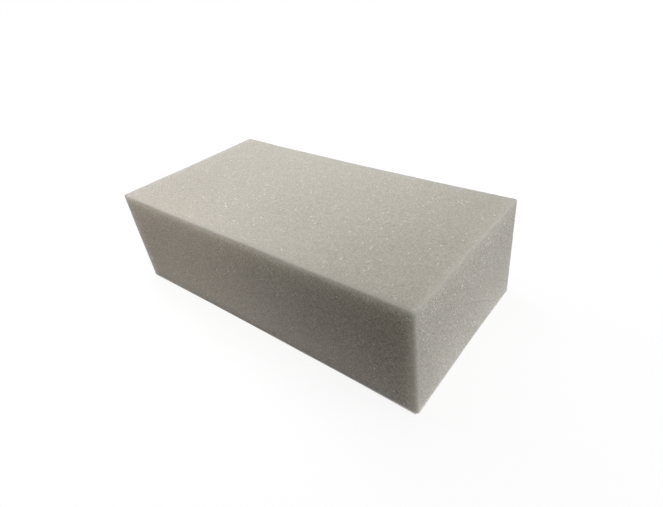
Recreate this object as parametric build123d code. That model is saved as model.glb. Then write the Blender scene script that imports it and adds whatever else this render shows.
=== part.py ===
from build123d import *
import os

# Piercing sponge: one block of fine-celled grey foam, sawn on all six sides, lying on a broad face.
# The origin is the middle of the resting face, X runs along the block, Y across it and Z up.

# Overall size of the block, in millimetres
block_length = 170.0
block_width = 85.0
block_height = 50.0

# How far a sawn face falls in at its middle, where the foam sprang back behind the blade
long_side_hollow = 0.5
end_hollow = 0.25
top_hollow = 0.5

# Radii of the edges, softest at the upright corners and crispest round the resting face
upright_edge_radius = 1.2
top_edge_radius = 0.6
resting_edge_radius = 0.4

# Reach of a cut past the block that it cuts
cut_overrun = 5.0


def sawn_plan():
    """Face of the block's plan: four shallow arcs, one for each upright side, that fall in at their middles."""
    half_length = block_length / 2
    half_width = block_width / 2
    front_left = (-half_length, -half_width)
    front_right = (half_length, -half_width)
    back_right = (half_length, half_width)
    back_left = (-half_length, half_width)
    front_middle = (0, long_side_hollow - half_width)
    right_middle = (half_length - end_hollow, 0)
    back_middle = (0, half_width - long_side_hollow)
    left_middle = (end_hollow - half_length, 0)
    sides = [
        ThreePointArc(front_left, front_middle, front_right),
        ThreePointArc(front_right, right_middle, back_right),
        ThreePointArc(back_right, back_middle, back_left),
        ThreePointArc(back_left, left_middle, front_left),
    ]
    return make_face(sides)


def top_scoop():
    """Wide cylinder lying across the block, which hollows the top and leaves both ends at full height."""
    half_length = block_length / 2
    scoop_radius = (half_length**2 + top_hollow**2) / (2 * top_hollow)
    scoop_length = block_width + 2 * cut_overrun
    scoop_axis_height = block_height - top_hollow + scoop_radius
    return Pos(0, 0, scoop_axis_height) * Rot(90, 0, 0) * Cylinder(scoop_radius, scoop_length)


def foam_block():
    """The whole block, with its top hollowed and its edges softened in the order of their radii."""
    blank = extrude(sawn_plan(), block_height + cut_overrun)
    block = blank - top_scoop()
    upright_edges = block.edges().filter_by(Axis.Z)
    block = fillet(upright_edges, upright_edge_radius)
    top_face = block.faces().sort_by(Axis.Z)[-1]
    block = fillet(top_face.edges(), top_edge_radius)
    resting_face = block.faces().sort_by(Axis.Z)[0]
    return fillet(resting_face.edges(), resting_edge_radius)


os.makedirs("parts", exist_ok=True)
export_step(foam_block(), "parts/foam_block.step")
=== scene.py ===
"""Looks of the piercing sponge: one sawn block of fine-celled grey foam, lying on a plain pale floor."""

import logging
from dataclasses import dataclass, field
from enum import Enum
from math import cos, radians, sin
from typing import Any

import bmesh
import bpy
from mathutils import Matrix, Quaternion, Vector, noise

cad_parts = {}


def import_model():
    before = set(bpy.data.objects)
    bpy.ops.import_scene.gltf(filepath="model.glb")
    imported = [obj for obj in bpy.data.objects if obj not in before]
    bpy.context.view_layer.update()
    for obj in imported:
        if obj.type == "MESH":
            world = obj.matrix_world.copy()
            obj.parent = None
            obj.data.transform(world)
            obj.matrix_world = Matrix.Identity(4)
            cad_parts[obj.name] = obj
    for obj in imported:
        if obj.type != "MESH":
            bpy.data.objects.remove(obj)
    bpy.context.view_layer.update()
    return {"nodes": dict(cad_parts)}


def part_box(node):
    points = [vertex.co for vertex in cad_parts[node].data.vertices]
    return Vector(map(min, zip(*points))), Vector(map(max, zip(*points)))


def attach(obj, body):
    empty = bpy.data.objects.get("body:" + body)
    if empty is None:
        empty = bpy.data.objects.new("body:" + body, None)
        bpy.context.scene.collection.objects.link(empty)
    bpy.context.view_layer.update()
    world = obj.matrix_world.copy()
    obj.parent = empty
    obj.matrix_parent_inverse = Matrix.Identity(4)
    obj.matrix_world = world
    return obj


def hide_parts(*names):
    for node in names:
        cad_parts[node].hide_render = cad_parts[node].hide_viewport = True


frame: dict[str, Any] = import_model()

log = logging.getLogger("piercing_sponge")

Tree = bpy.types.NodeTree
Socket = bpy.types.NodeSocket

MM = 0.001
WHITE = "#ffffff"

# Size of the picture in pixels, in which the camera's focus and centre are given
PICTURE_WIDTH = 663
PICTURE_HEIGHT = 507

# Sockets of a Mix node that mixes colours, which share their names with sockets for other kinds of value
FIRST_COLOUR = 6
SECOND_COLOUR = 7
MIXED_COLOUR = 2


class Side(Enum):
    """A side of the block, by the direction that it faces."""

    TOP = (0.0, 0.0, 1.0)
    RESTING = (0.0, 0.0, -1.0)
    RIGHT_END = (1.0, 0.0, 0.0)
    LEFT_END = (-1.0, 0.0, 0.0)
    FRONT = (0.0, -1.0, 0.0)
    BACK = (0.0, 1.0, 0.0)

    @property
    def normal(self) -> Vector:
        """Unit vector that points out of this side."""
        return Vector(self.value)


class EdgeKind(Enum):
    """A kind of edge of the block, by where it lies."""

    UPRIGHT = "upright"
    TOP = "top"
    RESTING = "resting"


def linear(hex_colour: str) -> tuple[float, float, float, float]:
    """Turns an sRGB colour into the linear colour that shaders and lamps take.

    Args:
        hex_colour: colour as "#rrggbb".

    Returns:
        Linear red, green and blue, with an alpha of 1.
    """
    shares = [int(hex_colour[i : i + 2], 16) / 255 for i in (1, 3, 5)]
    red, green, blue = (s / 12.92 if s <= 0.04045 else ((s + 0.055) / 1.055) ** 2.4 for s in shares)
    return red, green, blue, 1.0


def add_node(
    tree: Tree,
    kind: str,
    settings: dict[str, Any] | None = None,
    inputs: dict[str | int, Any] | None = None,
) -> bpy.types.Node:
    """Adds one node to a tree, with its settings and links.

    Args:
        tree: node tree that takes the node.
        kind: the node's type name, such as "ShaderNodeTexNoise".
        settings: properties of the node by name.
        inputs: sockets by name or number, each with a value or with the output that feeds it.

    Returns:
        The new node.
    """
    node = tree.nodes.new(kind)
    for name, value in (settings or {}).items():
        setattr(node, name, value)
    for key, value in (inputs or {}).items():
        if isinstance(value, Socket):
            tree.links.new(value, node.inputs[key])
        else:
            node.inputs[key].default_value = value
    return node


def new_material(name: str) -> bpy.types.Material:
    """Makes a material with an empty node tree.

    Args:
        name: the material's name.

    Returns:
        The new material.
    """
    material = bpy.data.materials.new(name)
    material.use_nodes = True
    material.node_tree.nodes.clear()
    return material


@dataclass(frozen=True)
class SawnFoam:
    """Open-cell polyurethane foam, sawn.

    The saw opens the cells, so the surface is matte and finely grained. The grain holds the foam's own
    tone, which differs at random, and painted shade in the mouths of the cells; a bright speck where a
    cell's window was left whole is that window's glint, painted into the colour. Light seeps some
    millimetres through the cells, which softens the step of tone at an edge and brightens an edge that
    is lit from both sides. The painted shade and glints are strongest at the ends, weaker on the long
    sides and weakest on top, after how the light falls on each side.
    """

    name: str = "polyurethane_foam_sawn"

    # Attributes of the piece: how much contrast the light draws in the cells, from 0 to 1, which sets the
    # painted shade of the grain and the painted glints, and the nicks, which are below 0 in a groove and
    # above 0 on its lip
    light_contrast_layer: str = "light_contrast"
    nick_layer: str = "nick"

    # Colours, from the painted shade in the mouth of a cell to the painted glint of a window that was
    # left whole, and the painted shade and painted highlight of a nick
    pore_painted_shade_colour: str = "#938e84"
    body_colour: str = "#c0bbaf"
    strut_colour: str = "#ebe5d8"
    painted_glint_colour: str = "#fffdf7"
    nick_painted_shade_colour: str = "#77736a"
    nick_painted_highlight_colour: str = "#f2efe6"
    nick_painted_light_share: float = 0.6

    # Cells of about 0.3 mm, the fine end for such foam, with a strut's core and reach in shares of a cell
    cell_mm: float = 0.28
    strut_core: float = 0.03
    strut_reach: float = 0.3

    # Groups of three or four cells, which are lighter or darker together
    group_mm: float = 1.0
    group_detail: float = 2.0
    group_roughness: float = 0.6

    # Weights of the struts and groups beside the tone of each cell, and the range that their sum fills
    strut_weight: float = 0.3
    group_weight: float = 0.6
    sum_low: float = 0.1
    sum_high: float = 1.7

    # Strength of the grain where the light draws most contrast, which it has from this contrast upward
    full_contrast_grain: float = 1.28
    full_contrast_from: float = 0.85

    # Specks, painted glints drawn two to three times as wide as a cell so that they show from a step away
    speck_spacing_mm: float = 0.9
    speck_radius_mm: float = 0.38
    speck_core: float = 0.75
    dimmest_speck: float = 0.8

    # Share of the places that hold a speck, from thin patches to thick ones, and the noise between them
    speck_patch_mm: float = 9.0
    thin_patch_share: float = 0.01
    thick_patch_share: float = 0.055
    patch_low: float = 0.35
    patch_high: float = 0.7

    # Specks are fainter where the light draws less contrast, and faintest toward an edge
    low_glint_contrast: float = 0.15
    high_glint_contrast: float = 0.6
    faintest_glint: float = 0.2

    # Specks grow and gleam at the ends, whose light contrast is above that of the other sides; growing
    # there makes their painted glints show brighter
    end_contrast_from: float = 0.8
    end_speck_growth: float = 1.2
    end_speck_gleam: float = 1.0

    # Finish of the surface: a rough mouth, smoother struts and the smooth film of a window
    pore_roughness: float = 0.97
    strut_roughness: float = 0.86
    speck_roughness: float = 0.3
    refraction: float = 1.5
    seep_mm: float = 18.0
    bump_mm: float = 0.06

    def material(self) -> bpy.types.Material:
        """Builds the foam's node tree.

        Returns:
            The finished material.
        """
        material = new_material(self.name)
        tree = material.node_tree
        place = add_node(tree, "ShaderNodeTexCoord").outputs["Object"]
        light_contrast = add_node(tree, "ShaderNodeAttribute", {"attribute_name": self.light_contrast_layer}).outputs["Fac"]
        struts = self.strut_share(tree, place)
        grain = self.grain_tone(tree, place, light_contrast, struts)
        specks = self.speck_share(tree, place, light_contrast)
        # The specks paint the glints of whole cell windows into the colour, over the grain
        speckled = add_node(
            tree,
            "ShaderNodeMix",
            {"data_type": "RGBA"},
            {
                "Factor": specks,
                FIRST_COLOUR: self.grain_colour(tree, grain),
                SECOND_COLOUR: linear(self.painted_glint_colour),
            },
        )
        bump = add_node(
            tree,
            "ShaderNodeBump",
            None,
            {"Strength": 1.0, "Distance": self.bump_mm * MM, "Height": struts},
        )
        # A speck is a film that throws light straight back, so none seeps in there
        seep = add_node(tree, "ShaderNodeMapRange", None, {"Value": specks, "To Min": 1.0, "To Max": 0.0})
        shader = add_node(
            tree,
            "ShaderNodeBsdfPrincipled",
            {"subsurface_method": "RANDOM_WALK"},
            {
                "Base Color": self.paint_nick_shade_and_highlight(tree, speckled.outputs[MIXED_COLOUR]),
                "Roughness": self.roughness(tree, struts, specks),
                "IOR": self.refraction,
                "Specular IOR Level": self.gleam_level(tree, light_contrast, specks),
                "Subsurface Weight": seep.outputs["Result"],
                "Subsurface Radius": (1.0, 1.0, 1.0),
                "Subsurface Scale": self.seep_mm * MM,
                "Normal": bump.outputs["Normal"],
            },
        )
        add_node(tree, "ShaderNodeOutputMaterial", None, {"Surface": shader.outputs["BSDF"]})
        return material

    def strut_share(self, tree: Tree, place: Socket) -> Socket:
        """Draws the net of struts between the cells, 1 on a strut and 0 in the mouth of a cell.

        Args:
            tree: node tree that takes the nodes.
            place: coordinates of the surface.

        Returns:
            The output that holds the share.
        """
        cells = add_node(
            tree,
            "ShaderNodeTexVoronoi",
            {"feature": "DISTANCE_TO_EDGE", "voronoi_dimensions": "3D"},
            {"Vector": place, "Scale": 1 / (self.cell_mm * MM), "Randomness": 1.0},
        )
        share = add_node(
            tree,
            "ShaderNodeMapRange",
            {"interpolation_type": "SMOOTHSTEP"},
            {
                "Value": cells.outputs["Distance"],
                "From Min": self.strut_core,
                "From Max": self.strut_reach,
                "To Min": 1.0,
                "To Max": 0.0,
            },
        )
        return share.outputs["Result"]

    def grain_tone(self, tree: Tree, place: Socket, light_contrast: Socket, struts: Socket) -> Socket:
        """Adds up the tone of the struts, of each cell and of small groups of cells.

        The more contrast the light draws on a side, the stronger the grain, whose dark end is painted shade
        in the mouths of the cells.

        Args:
            tree: node tree that takes the nodes.
            place: coordinates of the surface.
            light_contrast: how much contrast the light draws in the cells.
            struts: the share of strut.

        Returns:
            The output that holds the tone, from 0 for dark to 1 for light.
        """
        cells = add_node(
            tree,
            "ShaderNodeTexVoronoi",
            {"feature": "F1", "voronoi_dimensions": "3D"},
            {"Vector": place, "Scale": 1 / (self.cell_mm * MM), "Randomness": 1.0},
        )
        cell_draw = add_node(tree, "ShaderNodeSeparateColor", None, {"Color": cells.outputs["Color"]})
        groups = add_node(
            tree,
            "ShaderNodeTexNoise",
            {"noise_dimensions": "3D"},
            {
                "Vector": place,
                "Scale": 1 / (self.group_mm * MM),
                "Detail": self.group_detail,
                "Roughness": self.group_roughness,
            },
        )
        cells_and_struts = add_node(
            tree,
            "ShaderNodeMath",
            {"operation": "MULTIPLY_ADD"},
            {0: struts, 1: self.strut_weight, 2: cell_draw.outputs["Red"]},
        )
        total = add_node(
            tree,
            "ShaderNodeMath",
            {"operation": "MULTIPLY_ADD"},
            {0: groups.outputs["Fac"], 1: self.group_weight, 2: cells_and_struts.outputs[0]},
        )
        swing = add_node(
            tree,
            "ShaderNodeMapRange",
            {"clamp": False},
            {
                "Value": total.outputs[0],
                "From Min": self.sum_low,
                "From Max": self.sum_high,
                "To Min": -0.5,
                "To Max": 0.5,
            },
        )
        strength = add_node(
            tree,
            "ShaderNodeMapRange",
            None,
            {
                "Value": light_contrast,
                "From Min": 0.0,
                "From Max": self.full_contrast_from,
                "To Min": 0.0,
                "To Max": self.full_contrast_grain,
            },
        )
        tone = add_node(
            tree,
            "ShaderNodeMath",
            {"operation": "MULTIPLY_ADD"},
            {0: swing.outputs["Result"], 1: strength.outputs["Result"], 2: 0.5},
        )
        return tone.outputs[0]

    def grain_colour(self, tree: Tree, grain: Socket) -> Socket:
        """Turns the grain's tone into colour, from the painted shade in the mouth of a cell to a strut.

        Args:
            tree: node tree that takes the nodes.
            grain: the grain's tone.

        Returns:
            The output that holds the colour.
        """
        tone = add_node(tree, "ShaderNodeValToRGB", None, {"Fac": grain})
        ramp = tone.color_ramp
        ramp.elements[0].color = linear(self.pore_painted_shade_colour)
        ramp.elements[1].color = linear(self.strut_colour)
        ramp.elements.new(0.5).color = linear(self.body_colour)
        return tone.outputs["Color"]

    def speck_share(self, tree: Tree, place: Socket, light_contrast: Socket) -> Socket:
        """Strews specks, which are painted glints, over the surface, thicker in some patches than in others.

        Args:
            tree: node tree that takes the nodes.
            place: coordinates of the surface.
            light_contrast: how much contrast the light draws in the cells.

        Returns:
            The output that holds the share of speck.
        """
        spots = add_node(
            tree,
            "ShaderNodeTexVoronoi",
            {"feature": "F1", "voronoi_dimensions": "3D"},
            {"Vector": place, "Scale": 1 / (self.speck_spacing_mm * MM), "Randomness": 1.0},
        )
        draw = add_node(tree, "ShaderNodeSeparateColor", None, {"Color": spots.outputs["Color"]})
        brightness = add_node(
            tree,
            "ShaderNodeMapRange",
            None,
            {"Value": draw.outputs["Green"], "To Min": self.dimmest_speck, "To Max": 1.0},
        )
        strength = add_node(
            tree,
            "ShaderNodeMapRange",
            None,
            {
                "Value": light_contrast,
                "From Min": self.low_glint_contrast,
                "From Max": self.high_glint_contrast,
                "To Min": self.faintest_glint,
                "To Max": 1.0,
            },
        )
        share = self.speck_disc(tree, spots.outputs["Distance"], light_contrast)
        for factor in (
            brightness.outputs["Result"],
            strength.outputs["Result"],
            self.speck_pick(tree, place, draw.outputs["Red"]),
        ):
            product = add_node(tree, "ShaderNodeMath", {"operation": "MULTIPLY"}, {0: share, 1: factor})
            share = product.outputs[0]
        return share

    def speck_disc(self, tree: Tree, distance: Socket, light_contrast: Socket) -> Socket:
        """Draws a disc with a soft rim round every painted glint's place, larger at the ends of the block.

        Args:
            tree: node tree that takes the nodes.
            distance: how far the surface lies from the nearest place, in shares of their spacing.
            light_contrast: how much contrast the light draws in the cells.

        Returns:
            The output that is 1 within a disc and 0 outside it.
        """
        shrink = add_node(
            tree,
            "ShaderNodeMapRange",
            None,
            {
                "Value": light_contrast,
                "From Min": self.end_contrast_from,
                "From Max": 1.0,
                "To Min": 1.0,
                "To Max": 1 / self.end_speck_growth,
            },
        )
        away = add_node(
            tree,
            "ShaderNodeMath",
            {"operation": "MULTIPLY"},
            {0: distance, 1: shrink.outputs["Result"]},
        )
        reach = self.speck_radius_mm / self.speck_spacing_mm
        disc = add_node(
            tree,
            "ShaderNodeMapRange",
            None,
            {
                "Value": away.outputs[0],
                "From Min": self.speck_core * reach,
                "From Max": reach,
                "To Min": 1.0,
                "To Max": 0.0,
            },
        )
        return disc.outputs["Result"]

    def speck_pick(self, tree: Tree, place: Socket, draw: Socket) -> Socket:
        """Picks the few places that hold a speck, more of them in thick patches.

        Args:
            tree: node tree that takes the nodes.
            place: coordinates of the surface.
            draw: a random share for each place.

        Returns:
            The output that is 1 at a picked place and 0 at the others.
        """
        patches = add_node(
            tree,
            "ShaderNodeTexNoise",
            {"noise_dimensions": "3D"},
            {"Vector": place, "Scale": 1 / (self.speck_patch_mm * MM), "Detail": 1.0},
        )
        limit = add_node(
            tree,
            "ShaderNodeMapRange",
            None,
            {
                "Value": patches.outputs["Fac"],
                "From Min": self.patch_low,
                "From Max": self.patch_high,
                "To Min": 1 - self.thin_patch_share,
                "To Max": 1 - self.thick_patch_share,
            },
        )
        picked = add_node(
            tree,
            "ShaderNodeMath",
            {"operation": "GREATER_THAN"},
            {0: draw, 1: limit.outputs["Result"]},
        )
        return picked.outputs[0]

    def roughness(self, tree: Tree, struts: Socket, specks: Socket) -> Socket:
        """Sets the roughness of the cells' mouths, of their struts and of the specks.

        Args:
            tree: node tree that takes the nodes.
            struts: the share of strut.
            specks: the share of speck.

        Returns:
            The output that holds the roughness.
        """
        plain_level = add_node(
            tree,
            "ShaderNodeMapRange",
            None,
            {"Value": struts, "To Min": self.pore_roughness, "To Max": self.strut_roughness},
        )
        level = add_node(
            tree,
            "ShaderNodeMapRange",
            None,
            {"Value": specks, "To Min": plain_level.outputs["Result"], "To Max": self.speck_roughness},
        )
        return level.outputs["Result"]

    def gleam_level(self, tree: Tree, light_contrast: Socket, specks: Socket) -> Socket:
        """Lets the specks at the ends gleam, as flat films do that are seen at a slant.

        Args:
            tree: node tree that takes the nodes.
            light_contrast: how much contrast the light draws in the cells.
            specks: the share of speck.

        Returns:
            The output that holds the specular level, which is 0 off the specks.
        """
        gleam = add_node(
            tree,
            "ShaderNodeMapRange",
            None,
            {
                "Value": light_contrast,
                "From Min": self.end_contrast_from,
                "From Max": 1.0,
                "To Min": 0.0,
                "To Max": self.end_speck_gleam,
            },
        )
        level = add_node(
            tree,
            "ShaderNodeMath",
            {"operation": "MULTIPLY"},
            {0: specks, 1: gleam.outputs["Result"]},
        )
        return level.outputs[0]

    def paint_nick_shade_and_highlight(self, tree: Tree, ground: Socket) -> Socket:
        """Paints shade on the floor of a nick and a highlight on its lip.

        Args:
            tree: node tree that takes the nodes.
            ground: the colour of the foam round the nick.

        Returns:
            The output that holds the colour with the nicks' painted shade and highlight.
        """
        nick = add_node(tree, "ShaderNodeAttribute", {"attribute_name": self.nick_layer})
        colour = ground
        # Painted shade in the groove, where the layer is below 0, and a painted highlight on the lip, above 0
        for full_level, tint in ((-1.0, self.nick_painted_shade_colour), (1.0, self.nick_painted_highlight_colour)):
            share = add_node(
                tree,
                "ShaderNodeMapRange",
                None,
                {
                    "Value": nick.outputs["Fac"],
                    "From Min": 0.0,
                    "From Max": full_level,
                    "To Min": 0.0,
                    "To Max": self.nick_painted_light_share,
                },
            )
            tinted = add_node(
                tree,
                "ShaderNodeMix",
                {"data_type": "RGBA"},
                {"Factor": share.outputs["Result"], FIRST_COLOUR: colour, SECOND_COLOUR: linear(tint)},
            )
            colour = tinted.outputs[MIXED_COLOUR]
        return colour


@dataclass(frozen=True)
class Nick:
    """A fine nick in the right end of the block, from one point to another, across and up the face."""

    start_mm: tuple[float, float]
    end_mm: tuple[float, float]
    width_mm: float = 0.5
    depth_mm: float = 0.45
    lip_mm: float = 0.18

    def offset(self, place: Vector) -> tuple[float, float]:
        """Measures how far a point of the right end lies from the nick's line.

        Args:
            place: a point of the block, in metres.

        Returns:
            The distance past the nearer end and the height above the line, both in millimetres.
        """
        start = Vector(self.start_mm)
        run = Vector(self.end_mm) - start
        along = run.normalized()
        up = Vector((-along.y, along.x))
        away = Vector((place.y, place.z)) / MM - start
        past_end = max(0.0, -away.dot(along), away.dot(along) - run.length)
        return past_end, away.dot(up)

    def is_near(self, place: Vector, reach_mm: float) -> bool:
        """Tells whether a point of the right end lies within a reach of the nick."""
        past_end, height = self.offset(place)
        return Vector((past_end, height)).length < reach_mm


@dataclass
class FoamBlock:
    """The sawn block of foam, which stands for its CAD solid and keeps its form."""

    node: str = "foam_block"
    body: str = "root"
    slot: str = "foam"
    name: str = "foam_block_sawn"
    finish: SawnFoam = field(default_factory=SawnFoam)

    # Squares that the sides are divided into, and the strip that stays free for an edge's rounding
    grid_pitch: float = 0.78 * MM
    edge_guard: float = 1.6 * MM

    # Edges and hollows, as in the part's source
    upright_edge_radius: float = 1.2 * MM
    top_edge_radius: float = 0.6 * MM
    resting_edge_radius: float = 0.4 * MM
    edge_segments: int = 3
    sharp_edge_deg: float = 60.0
    long_side_hollow: float = 0.5 * MM
    end_hollow: float = 0.25 * MM
    top_hollow: float = 0.5 * MM

    # Slow wave of the cut, and the open cells, whose relief is drawn twice as coarse as they are to show
    cut_wave: float = 0.15 * MM
    cut_wave_length: float = 32.0 * MM
    cell_relief: float = 0.08 * MM
    cell_size: float = 0.62 * MM

    # Fixes the noise of both, so that each run makes the same block
    noise_seed: int = 5

    # How much contrast the light draws in the cells of each side, which sets the painted shade of the
    # grain and the painted glints, and how calm they grow toward an edge
    top_light_contrast: float = 0.47
    long_side_light_contrast: float = 0.78
    end_light_contrast: float = 1.0
    edge_calm: float = 3.0 * MM
    least_calm: float = 0.3

    # One cut that skips, so it shows as two nicks in line, with a finer grid round them
    nicks: tuple[Nick, ...] = (
        Nick((1.2, 22.4), (9.6, 17.0)),
        Nick((11.3, 15.7), (18.2, 11.4)),
    )
    nick_reach_mm: float = 1.2
    nick_cuts: int = 3

    def __post_init__(self) -> None:
        """Reads the block's box from its CAD solid."""
        self.low, self.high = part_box(self.node)
        self.size = self.high - self.low
        self.middle = (self.low + self.high) / 2

    def build(self) -> bpy.types.Object:
        """Models the block, dresses it and sets it on its body.

        Returns:
            The finished piece.
        """
        mesh = bmesh.new()
        self.saw_blank(mesh)
        self.lay_grid(mesh)
        self.soften_edges(mesh)
        self.refine_nicks(mesh)
        self.hollow_sides(mesh)
        self.mark_light_contrast(mesh)
        self.roughen(mesh)
        self.cut_nicks(mesh)
        bmesh.ops.recalc_face_normals(mesh, faces=mesh.faces)
        data = bpy.data.meshes.new(self.name)
        mesh.to_mesh(data)
        mesh.free()
        data.shade_smooth()
        data.materials.append(self.finish.material())
        piece = bpy.data.objects.new(self.name, data)
        bpy.context.scene.collection.objects.link(piece)
        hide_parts(self.node)
        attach(piece, self.body)
        triangles = sum(len(face.vertices) - 2 for face in data.polygons)
        log.info("%s: %d vertices, %d triangles", piece.name, len(data.vertices), triangles)
        return piece

    def saw_blank(self, mesh: bmesh.types.BMesh) -> None:
        """Makes the plain block at its full size."""
        place = Matrix.LocRotScale(self.middle, None, self.size)
        bmesh.ops.create_cube(mesh, size=1.0, matrix=place)

    def lay_grid(self, mesh: bmesh.types.BMesh) -> None:
        """Divides the sides into small squares, with a guard strip along each edge for its rounding.

        Args:
            mesh: the plain block.
        """
        for side in Side:
            reach = self.high if max(side.value) > 0 else self.low
            bmesh.ops.bisect_plane(
                mesh,
                geom=mesh.verts[:] + mesh.edges[:] + mesh.faces[:],
                plane_co=reach - side.normal * self.edge_guard,
                plane_no=side.normal,
            )
        for axis in range(3):
            span = self.size[axis] - 2 * self.edge_guard
            long_enough = span / 2
            along = [e for e in mesh.edges if abs(e.verts[1].co[axis] - e.verts[0].co[axis]) > long_enough]
            cuts = round(span / self.grid_pitch) - 1
            bmesh.ops.subdivide_edges(mesh, edges=along, cuts=cuts, use_grid_fill=True)

    def edge_kind(self, edge: bmesh.types.BMEdge) -> EdgeKind:
        """Tells an edge round the top or the resting face from an upright one.

        Args:
            edge: a sharp edge of the block.

        Returns:
            The kind of edge.
        """
        lower, upper = sorted(vert.co.z for vert in edge.verts)
        if lower > self.high.z - self.edge_guard / 2:
            return EdgeKind.TOP
        if upper < self.low.z + self.edge_guard / 2:
            return EdgeKind.RESTING
        return EdgeKind.UPRIGHT

    def soften_edges(self, mesh: bmesh.types.BMesh) -> None:
        """Rounds the upright edges, then the top ones, then the crisper ones round the resting face.

        Args:
            mesh: the block with its grid.
        """
        radii = {
            EdgeKind.UPRIGHT: self.upright_edge_radius,
            EdgeKind.TOP: self.top_edge_radius,
            EdgeKind.RESTING: self.resting_edge_radius,
        }
        for kind, radius in radii.items():
            mesh.normal_update()
            sharp = [e for e in mesh.edges if e.calc_face_angle(0.0) > radians(self.sharp_edge_deg)]
            bmesh.ops.bevel(
                mesh,
                geom=[e for e in sharp if self.edge_kind(e) is kind],
                offset=radius,
                offset_type="OFFSET",
                affect="EDGES",
                segments=self.edge_segments,
                profile=0.5,
                material=-1,
            )

    def refine_nicks(self, mesh: bmesh.types.BMesh) -> None:
        """Divides the right end more finely where the nicks will be cut.

        Args:
            mesh: the block with its edges rounded.
        """
        mesh.normal_update()
        square_on = 0.99
        end = [f for f in mesh.faces if f.normal.dot(Side.RIGHT_END.normal) > square_on]
        near = [
            f for f in end if any(n.is_near(f.calc_center_median(), self.nick_reach_mm) for n in self.nicks)
        ]
        edges = list({e for f in near for e in f.edges})
        bmesh.ops.subdivide_edges(mesh, edges=edges, cuts=self.nick_cuts, use_grid_fill=True)

    def hollow_sides(self, mesh: bmesh.types.BMesh) -> None:
        """Lets the sawn sides fall in at their middles, as the CAD solid does.

        Args:
            mesh: the block with its edges rounded.
        """
        half = self.size / 2
        for vert in mesh.verts:
            along = 1 - (vert.co.x / half.x) ** 2
            across = 1 - (vert.co.y / half.y) ** 2
            vert.co.x *= 1 - self.end_hollow / half.x * across
            vert.co.y *= 1 - self.long_side_hollow / half.y * along
            vert.co.z *= 1 - self.top_hollow / self.size.z * along

    def mark_light_contrast(self, mesh: bmesh.types.BMesh) -> None:
        """Marks how much contrast the light draws in the cells, which sets the painted shade of the grain and
        the painted glints: most at the ends, least on top and less toward an edge.

        Args:
            mesh: the block with its sides hollowed.
        """
        layer = mesh.verts.layers.float.new(self.finish.light_contrast_layer)
        mesh.normal_update()
        for vert in mesh.verts:
            shares = zip(vert.normal, (self.end_light_contrast, self.long_side_light_contrast, self.top_light_contrast))
            plain_level = max(abs(share) * light_contrast for share, light_contrast in shares)
            # The painted shade of the grain and the painted glints grow with this share
            vert[layer] = plain_level * self.calm(vert.co)

    def calm(self, place: Vector) -> float:
        """Measures how far a point lies from the block's nearest edge.

        Args:
            place: a point of the block's surface.

        Returns:
            A share that rises from its least at an edge to 1 away from it.
        """
        gaps = sorted(min(place[axis] - self.low[axis], self.high[axis] - place[axis]) for axis in range(3))
        away = min(1.0, max(0.0, gaps[1] / self.edge_calm))
        return self.least_calm + (1 - self.least_calm) * away

    def roughen(self, mesh: bmesh.types.BMesh) -> None:
        """Opens the cells and adds the slow wave of the cut, while the resting face stays flat.

        Args:
            mesh: the block with its sides hollowed.
        """
        noise.seed_set(self.noise_seed)
        floor_level = self.low.z + self.resting_edge_radius / 4
        for vert in mesh.verts:
            wave = noise.noise_vector(vert.co / self.cut_wave_length) * self.cut_wave
            cells = noise.noise_vector(vert.co / self.cell_size) * self.cell_relief * self.calm(vert.co)
            rests = vert.co.z < floor_level
            vert.co += wave + cells
            vert.co.z = self.low.z if rests else max(vert.co.z, self.low.z)

    def cut_nicks(self, mesh: bmesh.types.BMesh) -> None:
        """Cuts the nicks and lifts the lip above each.

        Args:
            mesh: the rough block, with a fine grid where the nicks go.
        """
        layer = mesh.verts.layers.float.new(self.finish.nick_layer)
        end_level = self.high.x - self.end_hollow - self.upright_edge_radius
        for vert in mesh.verts:
            if vert.co.x < end_level:
                continue
            for nick in self.nicks:
                past_end, height = nick.offset(vert.co)
                fade = max(0.0, 1 - past_end / nick.width_mm)
                groove = fade * max(0.0, 1 - abs(2 * height / nick.width_mm))
                lip = fade * max(0.0, 1 - abs(2 * (height - nick.width_mm) / nick.width_mm))
                vert.co.x += (lip * nick.lip_mm - groove * nick.depth_mm) * MM
                # The layer places the groove's painted shade and the lip's painted highlight
                vert[layer] += lip - groove


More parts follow.
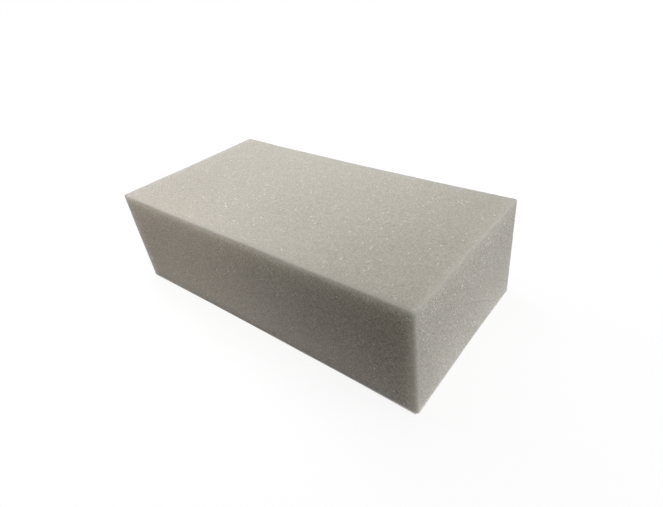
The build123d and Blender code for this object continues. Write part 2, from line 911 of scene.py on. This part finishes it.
@dataclass(frozen=True)
class PhotoCamera:
    """The camera at the photograph's viewing angle, with its focus and centre in the picture's pixels."""

    eye_mm: tuple[float, float, float] = (142.1, -134.5, 147.6)
    azimuth_deg: float = 39.05
    elevation_deg: float = 33.15
    roll_deg: float = -5.25
    focal_px: float = 464.7
    centre_px: tuple[float, float] = (364.6, 243.8)
    sensor_mm: float = 36.0
    nearest: float = 0.01
    farthest: float = 20.0

    def build(self) -> bpy.types.Object:
        """Places the camera and makes it the scene's own.

        Returns:
            The camera object.
        """
        data = bpy.data.cameras.new("photo_camera")
        data.sensor_width = self.sensor_mm
        data.lens = self.focal_px / PICTURE_WIDTH * self.sensor_mm
        data.shift_x = (PICTURE_WIDTH / 2 - self.centre_px[0]) / PICTURE_WIDTH
        data.shift_y = (self.centre_px[1] - PICTURE_HEIGHT / 2) / PICTURE_WIDTH
        data.clip_start = self.nearest
        data.clip_end = self.farthest
        azimuth = radians(self.azimuth_deg)
        elevation = radians(self.elevation_deg)
        back = Vector((sin(azimuth) * cos(elevation), -cos(azimuth) * cos(elevation), sin(elevation)))
        level = (-back).to_track_quat("-Z", "Y")
        camera = bpy.data.objects.new("photo_camera", data)
        camera.rotation_mode = "QUATERNION"
        camera.rotation_quaternion = level @ Quaternion((0.0, 0.0, 1.0), radians(self.roll_deg))
        camera.location = Vector(self.eye_mm) * MM
        bpy.context.scene.collection.objects.link(camera)
        bpy.context.scene.camera = camera
        log.info("camera: lens %.2f mm, shift %.3f, %.3f", data.lens, data.shift_x, data.shift_y)
        return camera


@dataclass(frozen=True)
class SoftBox:
    """One soft lamp: a glowing panel that looks at a point, with its places and sides in metres."""

    name: str
    place: tuple[float, float, float]
    aim: tuple[float, float, float]
    width: float
    depth: float
    power: float
    colour: str = WHITE

    def build(self) -> bpy.types.Object:
        """Hangs the lamp and turns it to its aim.

        Returns:
            The lamp object.
        """
        data = bpy.data.lights.new(self.name, "AREA")
        data.shape = "RECTANGLE"
        data.size = self.width
        data.size_y = self.depth
        data.energy = self.power
        data.color = linear(self.colour)[:3]
        lamp = bpy.data.objects.new(self.name, data)
        lamp.location = self.place
        lamp.rotation_mode = "QUATERNION"
        lamp.rotation_quaternion = (Vector(self.aim) - Vector(self.place)).to_track_quat("-Z", "Y")
        lamp.visible_camera = False
        bpy.context.scene.collection.objects.link(lamp)
        return lamp


@dataclass
class Studio:
    """The pale floor, the soft lamps and the white backdrop round them."""

    # The floor lies a hair under the block, so that the strips of light at its foot fit between them
    floor_reach: float = 6.0
    floor_gap: float = 0.2 * MM

    # Colour that the floor throws back at the block
    floor_colour: str = "#d2d2d0"

    # What the camera sees of the floor: a glow that dims a little round the block, which paints a faint
    # shade round it, and a share of the lamps' light, which carries the shadow
    floor_shine: float = 0.18
    floor_glow_near: float = 0.89
    glow_from: float = 0.13
    glow_to: float = 0.34

    # Two panels overhead, one high and two low ones round the block, two small ones before its front, and
    # two strips at its foot that stand in for light off a white floor
    lamps: tuple[SoftBox, ...] = (
        SoftBox("overhead", (0.0, 0.04, 0.25), (0.0, 0.04, 0.0), 0.2, 0.2, 0.335, "#fcfefe"),
        SoftBox("overhead_left", (-0.2, 0.0, 0.26), (-0.2, 0.0, 0.0), 0.2, 0.2, 0.29, "#fff9fd"),
        SoftBox("high_right", (0.4, 0.23, 0.68), (0.0, 0.0, 0.025), 0.4, 0.4, 0.67),
        SoftBox("low_right", (0.785, 0.14, 0.095), (0.0, 0.0, 0.025), 0.4, 0.4, 3.35, "#fafbff"),
        SoftBox("low_left", (-0.75, 0.27, 0.095), (0.0, 0.0, 0.025), 0.4, 0.4, 1.85),
        SoftBox("front_left", (-0.06, -0.1, 0.08), (-0.06, -0.1, 0.0), 0.08, 0.08, 0.0195, "#fff3ec"),
        SoftBox("front_middle", (0.0, -0.08, 0.08), (0.0, -0.08, 0.0), 0.08, 0.08, 0.005, "#fbf8ff"),
        SoftBox("front_foot", (0.0, -0.0495, -0.0001), (0.0, -0.0495, 1.0), 0.17, 0.016, 0.003, "#fffbfc"),
        SoftBox("right_foot", (0.09175, 0.0, -0.0001), (0.09175, 0.0, 1.0), 0.0155, 0.085, 0.0022),
    )

    def build(self) -> None:
        """Sets up the floor, the lamps, the backdrop and the plain view transform."""
        self.lay_floor()
        for lamp in self.lamps:
            lamp.build()
        self.hang_backdrop()
        bpy.context.scene.view_settings.view_transform = "Standard"
        log.info("studio: %d lamps", len(self.lamps))

    def floor_material(self) -> bpy.types.Material:
        """Paints a board matte white, which has no gloss and is white to the camera away from the block, with
        a painted shade round the block beside its shadow.

        Returns:
            The finished material.
        """
        material = new_material("matte_white_board")
        tree = material.node_tree
        place = add_node(tree, "ShaderNodeTexCoord").outputs["Object"]
        away = add_node(tree, "ShaderNodeVectorMath", {"operation": "LENGTH"}, {0: place})
        level = add_node(
            tree,
            "ShaderNodeMapRange",
            {"interpolation_type": "SMOOTHSTEP"},
            {
                "Value": away.outputs["Value"],
                "From Min": self.glow_from,
                "From Max": self.glow_to,
                "To Min": self.floor_glow_near,
                "To Max": 1.0,
            },
        )
        glow = add_node(
            tree, "ShaderNodeEmission", None, {"Color": linear(WHITE), "Strength": level.outputs["Result"]}
        )
        shine = self.floor_shine
        lit = add_node(tree, "ShaderNodeBsdfDiffuse", None, {"Color": (shine, shine, shine, 1.0)})
        in_view = add_node(tree, "ShaderNodeAddShader", None, {0: glow.outputs[0], 1: lit.outputs[0]})
        paint = add_node(tree, "ShaderNodeBsdfDiffuse", None, {"Color": linear(self.floor_colour)})
        mixed = add_node(
            tree,
            "ShaderNodeMixShader",
            None,
            {0: self.seen_directly(tree), 1: paint.outputs[0], 2: in_view.outputs[0]},
        )
        add_node(tree, "ShaderNodeOutputMaterial", None, {"Surface": mixed.outputs[0]})
        return material

    def lay_floor(self) -> bpy.types.Object:
        """Lays the floor under the block.

        Returns:
            The floor object.
        """
        mesh = bmesh.new()
        bmesh.ops.create_grid(
            mesh,
            x_segments=1,
            y_segments=1,
            size=self.floor_reach,
            matrix=Matrix.Translation((0.0, 0.0, -self.floor_gap)),
        )
        data = bpy.data.meshes.new("floor")
        mesh.to_mesh(data)
        mesh.free()
        data.materials.append(self.floor_material())
        floor = bpy.data.objects.new("floor", data)
        bpy.context.scene.collection.objects.link(floor)
        return floor

    def hang_backdrop(self) -> None:
        """Makes what lies past the floor white to the camera, with no light of its own."""
        world = bpy.data.worlds.new("backdrop")
        world.use_nodes = True
        tree = world.node_tree
        tree.nodes.clear()
        backdrop = add_node(
            tree, "ShaderNodeBackground", None, {"Color": linear(WHITE), "Strength": self.seen_directly(tree)}
        )
        add_node(tree, "ShaderNodeOutputWorld", None, {"Surface": backdrop.outputs[0]})
        bpy.context.scene.world = world

    @staticmethod
    def seen_directly(tree: Tree) -> Socket:
        """Adds the share that is 1 for rays from the camera, a reflection or glass.

        Args:
            tree: node tree that takes the nodes.

        Returns:
            The output that holds the share.
        """
        path = add_node(tree, "ShaderNodeLightPath")
        mirrored = add_node(
            tree,
            "ShaderNodeMath",
            {"operation": "MAXIMUM"},
            {0: path.outputs["Is Glossy Ray"], 1: path.outputs["Is Transmission Ray"]},
        )
        seen = add_node(
            tree,
            "ShaderNodeMath",
            {"operation": "MAXIMUM"},
            {0: path.outputs["Is Camera Ray"], 1: mirrored.outputs[0]},
        )
        return seen.outputs[0]


def main() -> None:
    """Builds the camera, the studio and the block, in that order."""
    logging.basicConfig(level=logging.INFO, format="%(name)s: %(message)s")
    PhotoCamera().build()
    Studio().build()
    FoamBlock().build()


if __name__ == "__main__":
    main()
